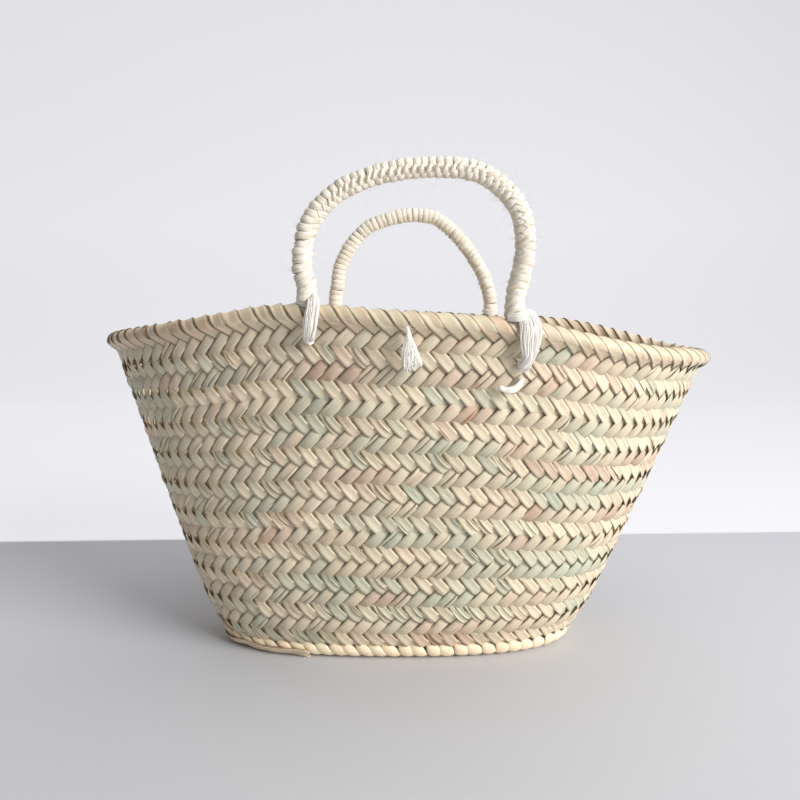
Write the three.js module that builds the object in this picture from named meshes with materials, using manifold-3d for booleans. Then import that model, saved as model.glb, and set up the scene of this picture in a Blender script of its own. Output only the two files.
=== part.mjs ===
// A hand-plaited palm-leaf market basket with two sisal-wrapped carrying handles.
// Units are millimetres. +Z is up, +X runs along the basket and its front faces -Y.
// The origin is the middle of the footprint, on the surface that the basket stands on.

import * as THREE from 'three';
import { mergeVertices } from 'three/addons/utils/BufferGeometryUtils.js';
import Module from 'manifold-3d';

const wasm = await Module();
wasm.setup();

// Outline of the wall, measured to its outer face
const RIM_HALF_LENGTH = 217.2;
const RIM_HALF_DEPTH = 118.1;
const BASE_HALF_LENGTH = 118;
const BASE_HALF_DEPTH = 45;
const BASE_TURN_OUT = 11.2; // how far the wall flares in the curve just above the base
const BASE_TURN_SHARPNESS = 17; // how quickly that flare is used up over the wall's height
const BASE_SQUARENESS = 0.5; // 0 makes the base a plain ellipse, more makes it fuller
const BASE_OFFSET = -9; // the rim leans a little to the right of the base

// Height of the rim's top, which is a free hand-made line
const RIM_HEIGHT = 235;
const RIM_END_DROOP = 22; // the two ends hang this much lower than the middle
const RIM_SLANT = -0.028; // the right end is lower than the left
const RIM_LIFT = { height: 5.5, x: -78, reach: 50 }; // the front rim is pulled up by its left foot
const RIM_TWIST = { height: 8.5, x: 155, reach: 62 }; // near the right end the front rim sags and the rear one rises

// Plait
const WALL_LENGTH = 249; // from the base to the rim's top, along the wall
const WALL_TURNS = 10;
const RIM_BAND = 13.5; // height of the binding over the top turn
const PLAIT_HIDDEN_TOP = 7; // the top turn reaches up inside the binding to here
const PLAIT_OUTER = -1.2; // the edges of a turn lie just behind the outline
const PLAIT_INNER = -5.2;
const PLAIT_CROWN = 1.8; // and its middle swells in front of it
const PLAIT_MIDDLE = (PLAIT_OUTER + PLAIT_INNER) / 2;
const NOTCH_DEPTH = 2.2; // groove along each edge, where the sewing cord runs
const CORD_HALF_WIDTH = 1.3;
const GAP = 0.3; // clearance between neighbouring pieces

// Base
const BASE_BAND_TOP = 10; // up the wall, to the seam with the first turn
const BASE_BAND_WIDTH = 10; // of the underside
const BASE_TURN_WIDTH = 24;
const BASE_THICKNESS = 4.5;

// Handles: rope wrapped in sisal, with the feet tied down on the rim
const ROPE_RADIUS = 4.4;
const WRAP_INNER_RADIUS = 4.7;
const WRAP_OUTER_RADIUS = 6.2;
const FOOT_HEIGHT = 7.5; // the feet pivot this far above the rim's top
const FOOT_LENGTH = 3; // and reach this far below the pivot
const FOOT_EYE_RADIUS = 2.2; // hole through a foot, which the tie runs through

// Ties: a loop of sisal yarn through a foot, over the rim and through the wall
const YARN_RADIUS = 1.4;
const TIE_HALF_WIDTH = 8.8;
const TIE_PROUD = 6.4; // centre of the yarn in front of the outline, over the binding
const TIE_HOLE_RADIUS = 4.4;
const TIE_KNOT_RADIUS = 3.2;

const RING_STEPS = 32;
const HALF_GAP = GAP / 2;

const palm = { color: 0xcdbf9c, roughness: 0.62, metalness: 0 };
const rimPalm = { color: 0xcfb28a, roughness: 0.55, metalness: 0 };
const palmCord = { color: 0xb59f72, roughness: 0.8, metalness: 0 };
const sisalWrap = { color: 0xe4d8bf, roughness: 0.85, metalness: 0 };
const sisalYarn = { color: 0xf0eadc, roughness: 0.9, metalness: 0 };

const basket = new THREE.Group();

function addPiece(name, geometry, look) {
  const mesh = new THREE.Mesh(geometry, new THREE.MeshStandardMaterial(look));
  mesh.name = name;
  basket.add(mesh);
}

// ---- Outlines -------------------------------------------------------------

// A point on an oval; extra squareness fills out its corners.
function ovalPoint(angle, halfLength, halfDepth, squareness) {
  const power = 2 / (2 + squareness);
  const c = Math.cos(angle);
  const s = Math.sin(angle);
  return new THREE.Vector2(
    halfLength * Math.sign(c) * Math.abs(c) ** power,
    halfDepth * Math.sign(s) * Math.abs(s) ** power,
  );
}

function rimTop(angle) {
  const x = RIM_HALF_LENGTH * Math.cos(angle);
  const frontShare = (1 - Math.sin(angle)) / 2;
  const lift = RIM_LIFT.height * frontShare * Math.exp(-(((x - RIM_LIFT.x) / RIM_LIFT.reach) ** 2));
  const twist = RIM_TWIST.height * Math.sin(angle) * Math.exp(-(((x - RIM_TWIST.x) / RIM_TWIST.reach) ** 2));
  return RIM_HEIGHT + RIM_SLANT * x - RIM_END_DROOP * Math.cos(angle) ** 2 + lift + twist;
}

// The wall's outline, from 0 at the base to 1 at the rim's top.
function wallSurface(angle, level) {
  const flare = BASE_TURN_OUT * (1 - Math.exp(-BASE_TURN_SHARPNESS * level));
  const outward = (base, rim) => base + (rim - base - BASE_TURN_OUT) * level + flare;
  const p = ovalPoint(
    angle,
    outward(BASE_HALF_LENGTH, RIM_HALF_LENGTH),
    outward(BASE_HALF_DEPTH, RIM_HALF_DEPTH),
    BASE_SQUARENESS * (1 - level),
  );
  return new THREE.Vector3(p.x + BASE_OFFSET * (1 - level), p.y, level * rimTop(angle));
}

// A point a given length up the wall from the base, and out from the outline along its normal.
function wallPoint(angle, up, out) {
  const level = up / WALL_LENGTH;
  const step = 1e-3;
  const round = wallSurface(angle + step, level).sub(wallSurface(angle - step, level));
  const rise = wallSurface(angle, level + step).sub(wallSurface(angle, level - step));
  const normal = round.cross(rise).normalize();
  return wallSurface(angle, level).addScaledVector(normal, out);
}

// The same, with the length measured down from the rim's top.
function rimPoint(angle, down, out) {
  return wallPoint(angle, WALL_LENGTH - down, out);
}

// A point in the base, inside its outline by a distance and above the ground by a height.
function basePoint(angle, inside, height) {
  const p = ovalPoint(angle, BASE_HALF_LENGTH - inside, BASE_HALF_DEPTH - inside, BASE_SQUARENESS);
  return new THREE.Vector3(p.x + BASE_OFFSET, p.y, height);
}

// ---- Solids ---------------------------------------------------------------

function indexedGeometry(points, indices) {
  const geometry = new THREE.BufferGeometry();
  geometry.setAttribute('position', new THREE.Float32BufferAttribute(points, 3));
  geometry.setIndex(indices);
  return geometry;
}

// A closed ring. Each corner of its section is a function of the angle round the basket, and
// the corners go up the outer face and down the inner one.
function ringSolid(corners) {
  const points = [];
  const indices = [];
  const count = corners.length;
  for (let i = 0; i < RING_STEPS; i++) {
    const angle = (2 * Math.PI * i) / RING_STEPS;
    const here = i * count;
    const next = ((i + 1) % RING_STEPS) * count;
    corners.forEach((corner, j) => {
      const k = (j + 1) % count;
      points.push(...corner(angle).toArray());
      indices.push(here + j, next + j, next + k, here + j, next + k, here + k);
    });
  }
  return indexedGeometry(points, indices);
}

// A closed plate: its edge is a stack of outlines, from the underside to the top.
function plateSolid(edges) {
  const points = [];
  const indices = [];
  const count = edges.length;
  const bottomCentre = RING_STEPS * count;
  const topCentre = bottomCentre + 1;
  for (let i = 0; i < RING_STEPS; i++) {
    const angle = (2 * Math.PI * i) / RING_STEPS;
    const here = i * count;
    const next = ((i + 1) % RING_STEPS) * count;
    edges.forEach((edge) => points.push(...edge(angle).toArray()));
    for (let j = 0; j < count - 1; j++) {
      indices.push(here + j, next + j, next + j + 1, here + j, next + j + 1, here + j + 1);
    }
    indices.push(bottomCentre, next, here, topCentre, here + count - 1, next + count - 1);
  }
  points.push(BASE_OFFSET, 0, 0, BASE_OFFSET, 0, BASE_THICKNESS);
  return indexedGeometry(points, indices);
}

function toManifold(geometry) {
  const plain = geometry.clone();
  plain.deleteAttribute('normal');
  plain.deleteAttribute('uv');
  const merged = mergeVertices(plain);
  return new wasm.Manifold(new wasm.Mesh({
    numProp: 3,
    vertProperties: merged.attributes.position.array,
    triVerts: Uint32Array.from(merged.index.array),
  }));
}

function toGeometry(manifold) {
  const { vertProperties, triVerts } = manifold.getMesh();
  return indexedGeometry(Array.from(vertProperties), Array.from(triVerts));
}

// A round rod between two points, for cutting holes.
function rodBetween(start, end, radius) {
  const along = end.clone().sub(start);
  const rod = new THREE.CylinderGeometry(radius, radius, along.length(), 10);
  const turn = new THREE.Quaternion().setFromUnitVectors(
    new THREE.Vector3(0, 1, 0),
    along.clone().normalize(),
  );
  rod.applyQuaternion(turn);
  const middle = start.clone().add(end).multiplyScalar(0.5);
  return rod.translate(middle.x, middle.y, middle.z);
}

function polygonPoints(radius, sides) {
  return Array.from({ length: sides }, (_, i) => {
    const angle = (2 * Math.PI * i) / sides;
    return new THREE.Vector2(radius * Math.cos(angle), radius * Math.sin(angle));
  });
}

// A tube along an open curve, hollow where an inner radius is given.
function tube(points, steps, radius, sides, innerRadius) {
  const section = new THREE.Shape(polygonPoints(radius, sides));
  if (innerRadius) section.holes.push(new THREE.Path(polygonPoints(innerRadius, sides)));
  return new THREE.ExtrudeGeometry(section, {
    steps,
    bevelEnabled: false,
    extrudePath: new THREE.CatmullRomCurve3(points, false, 'centripetal'),
  });
}

// ---- Wall -----------------------------------------------------------------

const firstSeam = BASE_BAND_TOP;
const lastSeam = WALL_LENGTH - RIM_BAND;
const turnHeight = (lastSeam - firstSeam) / WALL_TURNS;
const seamHeight = (turn) => firstSeam + turn * turnHeight;

// One turn of the plait: swollen in its middle, with a groove for the cord along each edge.
function wallTurn(turn) {
  const bottom = seamHeight(turn - 1) + HALF_GAP;
  const top = seamHeight(turn) - HALF_GAP;
  const lower = [
    (a) => wallPoint(a, bottom, PLAIT_INNER),
    (a) => wallPoint(a, bottom + NOTCH_DEPTH, PLAIT_MIDDLE),
    (a) => wallPoint(a, bottom, PLAIT_OUTER),
    (a) => wallPoint(a, (bottom + top) / 2, PLAIT_CROWN),
    (a) => wallPoint(a, top, PLAIT_OUTER),
  ];
  const hiddenTop = WALL_LENGTH - PLAIT_HIDDEN_TOP;
  const upper = turn === WALL_TURNS
    ? [
      (a) => wallPoint(a, hiddenTop, PLAIT_OUTER),
      (a) => wallPoint(a, hiddenTop, PLAIT_INNER),
    ]
    : [
      (a) => wallPoint(a, top - NOTCH_DEPTH, PLAIT_MIDDLE),
      (a) => wallPoint(a, top, PLAIT_INNER),
    ];
  return ringSolid([...lower, ...upper]);
}

// The cord that sews two neighbouring turns edge to edge, hidden in their grooves.
function wallSeamCord(up) {
  return ringSolid([
    (a) => wallPoint(a, up, PLAIT_MIDDLE + CORD_HALF_WIDTH),
    (a) => wallPoint(a, up + CORD_HALF_WIDTH, PLAIT_MIDDLE - CORD_HALF_WIDTH / 2),
    (a) => wallPoint(a, up - CORD_HALF_WIDTH, PLAIT_MIDDLE - CORD_HALF_WIDTH / 2),
  ]);
}

function twoDigits(number) {
  return String(number).padStart(2, '0');
}

for (let turn = 1; turn < WALL_TURNS; turn++) {
  addPiece(`wall_plait_turn_${twoDigits(turn)}`, wallTurn(turn), palm);
}
for (let seam = 0; seam < WALL_TURNS; seam++) {
  addPiece(`wall_seam_cord_${twoDigits(seam + 1)}`, wallSeamCord(seamHeight(seam)), palmCord);
}

// ---- Base -----------------------------------------------------------------

const bandInner = BASE_BAND_WIDTH;
const turnOuter = BASE_BAND_WIDTH + GAP;
const turnInner = turnOuter + BASE_TURN_WIDTH;
const centreOuter = turnInner + GAP;
const baseMiddle = BASE_THICKNESS / 2;

addPiece('base_edge_band', ringSolid([
  (a) => basePoint(a, bandInner, 0),
  (a) => basePoint(a, 1, 0),
  (a) => basePoint(a, -1, 1.2),
  (a) => wallPoint(a, BASE_BAND_TOP / 2, 1),
  (a) => wallPoint(a, firstSeam - HALF_GAP, PLAIT_OUTER),
  (a) => wallPoint(a, firstSeam - HALF_GAP - NOTCH_DEPTH, PLAIT_MIDDLE),
  (a) => wallPoint(a, firstSeam - HALF_GAP, PLAIT_INNER),
  (a) => basePoint(a, BASE_BAND_WIDTH / 2, BASE_THICKNESS),
  (a) => basePoint(a, bandInner, BASE_THICKNESS),
  (a) => basePoint(a, bandInner - NOTCH_DEPTH, baseMiddle),
]), palm);

addPiece('base_plait_turn', ringSolid([
  (a) => basePoint(a, turnOuter, 0),
  (a) => basePoint(a, turnOuter + NOTCH_DEPTH, baseMiddle),
  (a) => basePoint(a, turnOuter, BASE_THICKNESS),
  (a) => basePoint(a, turnInner, BASE_THICKNESS),
  (a) => basePoint(a, turnInner - NOTCH_DEPTH, baseMiddle),
  (a) => basePoint(a, turnInner, 0),
]), palm);

addPiece('base_plait_centre', plateSolid([
  (a) => basePoint(a, centreOuter, 0),
  (a) => basePoint(a, centreOuter + NOTCH_DEPTH, baseMiddle),
  (a) => basePoint(a, centreOuter, BASE_THICKNESS),
]), palm);

function baseSeamCord(inside) {
  return ringSolid([
    (a) => basePoint(a, inside - CORD_HALF_WIDTH, baseMiddle),
    (a) => basePoint(a, inside, baseMiddle + CORD_HALF_WIDTH),
    (a) => basePoint(a, inside + CORD_HALF_WIDTH, baseMiddle),
    (a) => basePoint(a, inside, baseMiddle - CORD_HALF_WIDTH),
  ]);
}

addPiece('base_seam_cord_outer', baseSeamCord((bandInner + turnOuter) / 2), palmCord);
addPiece('base_seam_cord_inner', baseSeamCord((turnInner + centreOuter) / 2), palmCord);

// The end of the edge band's leaf, left loose over the front left of the band
const LOOSE_END = { start: -2.9, end: -1.98, steps: 10, bottom: 3.5, top: 9, out: 1.9, thickness: 0.9 };
{
  const points = [];
  for (let i = 0; i <= LOOSE_END.steps; i++) {
    const angle = THREE.MathUtils.lerp(LOOSE_END.start, LOOSE_END.end, i / LOOSE_END.steps);
    const outer = LOOSE_END.out + LOOSE_END.thickness;
    points.push(
      wallPoint(angle, LOOSE_END.bottom, outer),
      wallPoint(angle, LOOSE_END.top, outer),
      wallPoint(angle, LOOSE_END.top, LOOSE_END.out),
      wallPoint(angle, LOOSE_END.bottom, LOOSE_END.out),
    );
  }
  const indices = [0, 1, 2, 0, 2, 3];
  for (let i = 0; i < LOOSE_END.steps; i++) {
    for (let j = 0; j < 4; j++) {
      const here = 4 * i;
      const k = (j + 1) % 4;
      indices.push(here + j, here + 4 + j, here + 4 + k, here + j, here + 4 + k, here + k);
    }
  }
  const last = 4 * LOOSE_END.steps;
  indices.push(last, last + 3, last + 2, last, last + 2, last + 1);
  addPiece('base_band_loose_end', indexedGeometry(points.flatMap((p) => p.toArray()), indices), palm);
}

// ---- Rim ------------------------------------------------------------------

// The binding is folded down over both faces of the top turn, with a cord along its fold.
const RIM_CORE_RADIUS = 2;
const RIM_CORE_DOWN = 4.5;
addPiece('rim_binding', ringSolid([
  (a) => rimPoint(a, RIM_BAND - HALF_GAP, PLAIT_OUTER + GAP),
  (a) => rimPoint(a, RIM_BAND - HALF_GAP, 2),
  (a) => rimPoint(a, 11, 4.2),
  (a) => rimPoint(a, 4, 4.4),
  (a) => rimPoint(a, 0.8, 1.4),
  (a) => rimPoint(a, 0, PLAIT_MIDDLE),
  (a) => rimPoint(a, 0.8, -7.8),
  (a) => rimPoint(a, 4, -10.6),
  (a) => rimPoint(a, 11, -10.2),
  (a) => rimPoint(a, RIM_BAND - HALF_GAP, -8),
  (a) => rimPoint(a, RIM_BAND - HALF_GAP, PLAIT_INNER - GAP),
  (a) => rimPoint(a, 2, PLAIT_INNER - GAP),
  (a) => rimPoint(a, 2, PLAIT_OUTER + GAP),
]), rimPalm);

addPiece('rim_core_cord', ringSolid(
  polygonPoints(RIM_CORE_RADIUS, 5).map((p) => (a) => rimPoint(a, RIM_CORE_DOWN - p.y, PLAIT_MIDDLE + p.x)),
), palmCord);

// ---- Handles --------------------------------------------------------------

// The angle round the rim at which its middle line has a given x, on the front or the rear side.
function rimAngle(x, side) {
  return side * Math.acos(x / RIM_HALF_LENGTH);
}

function footCentre(x, side) {
  const top = rimPoint(rimAngle(x, side), 0, PLAIT_MIDDLE);
  return new THREE.Vector3(top.x, top.y, top.z + FOOT_HEIGHT);
}

// side is -1 at the front and 1 at the rear. The arch gives points of the handle between its
// feet, as x and the height above RIM_HEIGHT. Each tie has its hole in the wall this far below
// the rim's top and this far to the right of the foot.
const handles = [
  {
    name: 'front',
    side: -1,
    feet: [-62, 63],
    arch: [[-64, 26], [-60, 53], [-43.5, 72], [-14, 84], [16, 87], [43, 83], [64, 64], [69, 41], [66, 22]],
    ties: [{ name: 'front_left', down: 21.5, right: 5 }, { name: 'front_right', down: 27.5, right: 4 }],
  },
  {
    name: 'rear',
    side: 1,
    feet: [-65, 75],
    arch: [[-63, 22], [-59, 44], [-38, 74.5], [-8, 86], [13, 87], [28, 83], [51, 61], [69.5, 30]],
    ties: [{ name: 'rear_left', down: 21.5, right: 2 }, { name: 'rear_right', down: 21.5, right: -2 }],
  },
];

const tieHoles = [];

for (const handle of handles) {
  const [left, right] = handle.feet.map((x) => footCentre(x, handle.side));
  const axis = right.clone().sub(left).normalize();
  const depthAt = (x) => THREE.MathUtils.mapLinear(x, left.x, right.x, left.y, right.y);
  const path = [
    new THREE.Vector3(left.x, left.y, left.z - FOOT_LENGTH),
    new THREE.Vector3(left.x, left.y, left.z + FOOT_LENGTH),
    ...handle.arch.map(([x, h]) => new THREE.Vector3(x, depthAt(x), RIM_HEIGHT + h)),
    new THREE.Vector3(right.x, right.y, right.z + FOOT_LENGTH),
    new THREE.Vector3(right.x, right.y, right.z - FOOT_LENGTH),
  ];

  // The eye through each foot lies along the pivot line, so that the tie in it lets the foot turn.
  const reach = axis.clone().multiplyScalar(2 * WRAP_OUTER_RADIUS);
  const eyes = [left, right].map((foot) => toManifold(
    rodBetween(foot.clone().sub(reach), foot.clone().add(reach), FOOT_EYE_RADIUS),
  ));
  const withEyes = (geometry) => toGeometry(
    eyes.reduce((solid, eye) => solid.subtract(eye), toManifold(geometry)),
  );
  addPiece(`${handle.name}_handle_rope`, withEyes(tube(path, 26, ROPE_RADIUS, 8)), palmCord);
  const wrap = tube(path, 26, WRAP_OUTER_RADIUS, 8, WRAP_INNER_RADIUS / Math.cos(Math.PI / 8));
  addPiece(`${handle.name}_handle_wrap`, withEyes(wrap), sisalWrap);

  [left, right].forEach((foot, i) => {
    const tie = handle.ties[i];
    const holeAngle = rimAngle(handle.feet[i] + tie.right, handle.side);
    const leg = (offset, down, out) => {
      const angle = rimAngle(handle.feet[i] + tie.right * Math.min(down / tie.down, 1) + offset, handle.side);
      return rimPoint(angle, down, out);
    };
    const half = (sign) => [
      leg(sign * 2.1, tie.down, PLAIT_MIDDLE),
      leg(sign * 2.6, tie.down - 2, 4.8),
      leg(sign * 6, 12, TIE_PROUD),
      leg(sign * TIE_HALF_WIDTH, 3, TIE_PROUD),
      foot.clone().addScaledVector(axis, sign * TIE_HALF_WIDTH),
    ];
    const insideEnd = rimPoint(holeAngle, tie.down + 1, PLAIT_INNER - TIE_KNOT_RADIUS - GAP);
    const loop = new THREE.CatmullRomCurve3(
      [insideEnd, ...half(-1), foot, ...half(1).reverse()],
      true,
      'centripetal',
    );
    const knot = new THREE.IcosahedronGeometry(TIE_KNOT_RADIUS, 1)
      .translate(insideEnd.x, insideEnd.y, insideEnd.z);
    const yarn = new THREE.TubeGeometry(loop, 30, YARN_RADIUS, 6, true);
    addPiece(`${tie.name}_tie`, toGeometry(toManifold(yarn).add(toManifold(knot))), sisalYarn);
    tieHoles.push(toManifold(rodBetween(
      rimPoint(holeAngle, tie.down, 2 * TIE_HOLE_RADIUS),
      rimPoint(holeAngle, tie.down, -2 * TIE_HOLE_RADIUS),
      TIE_HOLE_RADIUS,
    )));
  });
}

addPiece(`wall_plait_turn_${WALL_TURNS}`, toGeometry(
  tieHoles.reduce((solid, hole) => solid.subtract(hole), toManifold(wallTurn(WALL_TURNS))),
), palm);

// ---- Yarn ends at the front -----------------------------------------------

// Points on the outside of the front wall, by x, length below the rim's top and distance out
function frontPath(stations) {
  return stations.map(([x, down, out]) => rimPoint(rimAngle(x, -1), down, out));
}

addPiece('front_right_tie_tail', tube(
  frontPath([[70, 37, 3.6], [67, 41, 4.6], [62, 43, 5.2], [57, 42, 4.8], [54, 40, 4]]), 8, 1.6, 6,
), sisalYarn);

addPiece('front_centre_tuft', tube(
  frontPath([[-2, 17, 5.2], [1, 23, 7], [5, 29, 7.6], [8, 35, 6.6]]), 6, 2.8, 6,
), sisalYarn);

export default basket;
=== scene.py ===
import math

import bpy
import numpy as np
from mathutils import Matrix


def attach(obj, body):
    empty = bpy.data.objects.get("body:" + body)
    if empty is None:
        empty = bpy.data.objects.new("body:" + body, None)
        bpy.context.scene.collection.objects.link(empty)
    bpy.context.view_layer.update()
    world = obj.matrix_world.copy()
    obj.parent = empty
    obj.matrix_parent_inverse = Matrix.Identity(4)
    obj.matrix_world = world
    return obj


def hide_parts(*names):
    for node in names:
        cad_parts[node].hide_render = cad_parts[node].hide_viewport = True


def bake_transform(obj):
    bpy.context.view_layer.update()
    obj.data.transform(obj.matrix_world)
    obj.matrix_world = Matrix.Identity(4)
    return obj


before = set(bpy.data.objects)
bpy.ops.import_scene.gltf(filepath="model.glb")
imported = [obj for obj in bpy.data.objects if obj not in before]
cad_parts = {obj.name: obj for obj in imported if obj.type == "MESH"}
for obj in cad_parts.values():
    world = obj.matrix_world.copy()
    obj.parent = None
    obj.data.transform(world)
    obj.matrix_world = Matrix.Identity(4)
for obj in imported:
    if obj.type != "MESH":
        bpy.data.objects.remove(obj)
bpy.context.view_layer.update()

camera = {
    "place": (-0.0043, -0.540, 0.2372),
    "turn": 0.0033,  # radians to the left of straight ahead
    "lens": 32.5,
    "lower": 0.1127,  # shift, as a share of the picture's width
}


def addCamera():
    data = bpy.data.cameras.new("camera")
    data.lens = camera["lens"]
    data.sensor_width = 36
    data.shift_y = -camera["lower"]
    made = bpy.data.objects.new("camera", data)
    made.location = camera["place"]
    made.rotation_euler = (math.pi / 2, 0, camera["turn"])
    bpy.context.scene.collection.objects.link(made)
    bpy.context.scene.camera = made


addCamera()
print("camera made")


def tint(red, green, blue, alpha=1.0):
    # screen values from 0 to 255, as the linear light that sockets take
    linear = [((v / 255 + 0.055) / 1.055) ** 2.4 if v > 10 else v / 3295 for v in (red, green, blue)]
    return (*linear, alpha)


class Wire:  # a socket that can stand in a sum
    def __init__(self, shader, socket):
        self.shader = shader
        self.socket = socket

    def __add__(self, other):
        return self.shader.maths("ADD", self, other)

    def __radd__(self, other):
        return self.shader.maths("ADD", other, self)

    def __sub__(self, other):
        return self.shader.maths("SUBTRACT", self, other)

    def __rsub__(self, other):
        return self.shader.maths("SUBTRACT", other, self)

    def __mul__(self, other):
        return self.shader.maths("MULTIPLY", self, other)

    def __rmul__(self, other):
        return self.shader.maths("MULTIPLY", other, self)

    def __abs__(self):
        return self.shader.maths("ABSOLUTE", self)


class Shader:
    def __init__(self, name):
        self.material = bpy.data.materials.new(name)
        self.material.use_nodes = True
        self.tree = self.material.node_tree
        self.tree.nodes.clear()

    # settings go in first, then each socket gets its value or its link
    def add(self, kind, settings=None, sockets=None, out=0):
        made = self.tree.nodes.new("ShaderNode" + kind)
        for name, value in (settings or {}).items():
            if name == "stops":
                self.fillRamp(made.color_ramp, value)
            else:
                setattr(made, name, value)
        for name, value in (sockets or {}).items():
            if isinstance(value, Wire):
                self.tree.links.new(value.socket, made.inputs[name])
            else:
                made.inputs[name].default_value = value
        return Wire(self, made.outputs[out]) if made.outputs else None

    def fillRamp(self, ramp, stops):
        while len(ramp.elements) < len(stops):
            ramp.elements.new(0.5)
        for element, (place, colour) in zip(ramp.elements, stops):
            element.position = place
            element.color = colour

    def maths(self, operation, first, second=0.0):
        return self.add("Math", {"operation": operation}, {0: first, 1: second})

    def stretch(self, vector, scale):
        return self.add("VectorMath", {"operation": "MULTIPLY"}, {0: vector, 1: scale})

    def noise(self, vector, scale, detail=2.0, rough=0.5):
        sockets = {"Vector": vector, "Scale": scale, "Detail": detail, "Roughness": rough}
        return self.add("TexNoise", {}, sockets)

    # a value's share of the way from low to high, eased at both ends
    def ease(self, value, low, high):
        sockets = {"Value": value, "From Min": low, "From Max": high}
        return self.add("MapRange", {"interpolation_type": "SMOOTHSTEP"}, sockets)

    def mix(self, share, first, second, blend="MIX"):
        settings = {"data_type": "RGBA", "blend_type": blend}
        return self.add("Mix", settings, {0: share, 6: first, 7: second}, out=2)

    def dim(self, colour, light):
        grey = self.add("CombineColor", {}, {0: light, 1: light, 2: light})
        return self.mix(1.0, colour, grey, "MULTIPLY")

    def attribute(self, name, out="Fac"):
        return self.add("Attribute", {"attribute_name": name}, {}, out=out)

    def finish(self, sockets):
        skin = self.add("BsdfPrincipled", {}, sockets)
        self.add("OutputMaterial", {}, {"Surface": skin})
        return self.material


leafTones = [
    (0.00, tint(205, 206, 181)),
    (0.20, tint(216, 211, 185)),
    (0.42, tint(229, 214, 185)),
    (0.60, tint(235, 218, 190)),
    (0.80, tint(222, 196, 171)),
    (0.95, tint(208, 176, 151)),
    (1.00, tint(196, 156, 122)),
]


# Dried palm leaf. Each leaf has a tone, a shade, and places measured along and across it.
def leafMaterial(name, tones, look):
    shader = Shader(name)
    grain = shader.attribute("grain", "Vector")
    tone = shader.attribute("tone")
    shade = shader.attribute("shade")
    edge = abs(shader.attribute("edge"))
    fibres = shader.noise(shader.stretch(grain, (40, 1500, 1)), 1, 3, 0.65)
    veins = shader.noise(shader.stretch(grain, (18, 900, 1)), 1, 1, 0.4)
    patches = shader.noise(shader.stretch(grain, (90, 150, 1)), 1, 3, 0.55)
    colour = shader.add("ValToRGB", {"stops": tones}, {"Fac": tone + (patches - 0.5) * look["patches"]})
    light = shade * (1 - look["streaks"] / 2 + fibres * look["streaks"])
    light = light * (1 - shader.ease(edge, look["edgeFrom"], 1.0) * look["edgeDark"])
    spots = shader.ease(patches * veins, 0.36, 0.47) * look["spots"]
    colour = shader.dim(shader.mix(spots, colour, look["spotColour"]), light)
    height = fibres * 0.5 + veins * 0.8
    bump = shader.add("Bump", {}, {"Strength": look["bump"], "Distance": 0.0004, "Height": height})
    rough = look["roughness"] + (patches - 0.5) * 0.25
    sockets = {"Base Color": colour, "Roughness": rough, "Normal": bump, "Specular IOR Level": 0.4}
    return shader.finish(sockets)


# Spun sisal. The grain runs along each yarn and a little round it.
def sisalMaterial(name, pale, dark, look):
    shader = Shader(name)
    grain = shader.attribute("grain", "Vector")
    shade = shader.attribute("shade")
    fibres = shader.noise(shader.stretch(grain, (150, 1500, 1)), 1, 3, 0.7)
    clumps = shader.noise(shader.stretch(grain, (130, 420, 1)), 1, 2, 0.5)
    patches = shader.noise(grain, 60, 2, 0.5)
    share = shader.ease(fibres * 0.65 + clumps * 0.25 + patches * 0.2, 0.38, 0.6)
    colour = shader.dim(shader.mix(share, dark, pale), shade)
    height = fibres * 0.6 + clumps
    bump = shader.add("Bump", {}, {"Strength": look["bump"], "Distance": 0.0006, "Height": height})
    sockets = {"Base Color": colour, "Roughness": 0.82, "Normal": bump, "Specular IOR Level": 0.25}
    return shader.finish(sockets)


# Twisted leaf or rope that only shows in gaps: places come from the object itself.
def cordMaterial(name, pale, dark):
    shader = Shader(name)
    place = shader.add("TexCoord", {}, {}, "Object")
    streaks = shader.noise(shader.stretch(place, (300, 300, 900)), 1, 3, 0.6)
    colour = shader.mix(shader.ease(streaks, 0.3, 0.7), dark, pale)
    bump = shader.add("Bump", {}, {"Strength": 0.6, "Distance": 0.0005, "Height": streaks})
    rough = 0.75 + (streaks - 0.5) * 0.2
    return shader.finish({"Base Color": colour, "Roughness": rough, "Normal": bump})


plaitLeaf = leafMaterial("palm_plait", leafTones, {
    "patches": 0.35,
    "streaks": 0.5,
    "edgeDark": 0.42,
    "edgeFrom": 0.84,  # share of the half width at which the edge starts to darken
    "spots": 0.45,
    "spotColour": tint(176, 130, 88),
    "bump": 0.55,
    "roughness": 0.46,
})
rimLeaf = leafMaterial("rim_leaf", [
    (0.00, tint(219, 208, 176)),
    (0.45, tint(231, 211, 181)),
    (1.00, tint(224, 196, 164)),
], {
    "patches": 0.5,
    "streaks": 0.36,
    "edgeDark": 0.7,
    "edgeFrom": 0.84,
    "spots": 0.4,
    "spotColour": tint(190, 140, 100),
    "bump": 0.45,
    "roughness": 0.42,
})
wrapYarn = sisalMaterial("sisal_wrap", tint(252, 244, 229), tint(216, 196, 166), {"bump": 1.0})
tieYarn = sisalMaterial("sisal_yarn", tint(254, 251, 244), tint(236, 227, 211), {"bump": 0.4})
leafCord = cordMaterial("palm_cord", tint(205, 185, 145), tint(140, 110, 72))
print("materials made")


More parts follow.
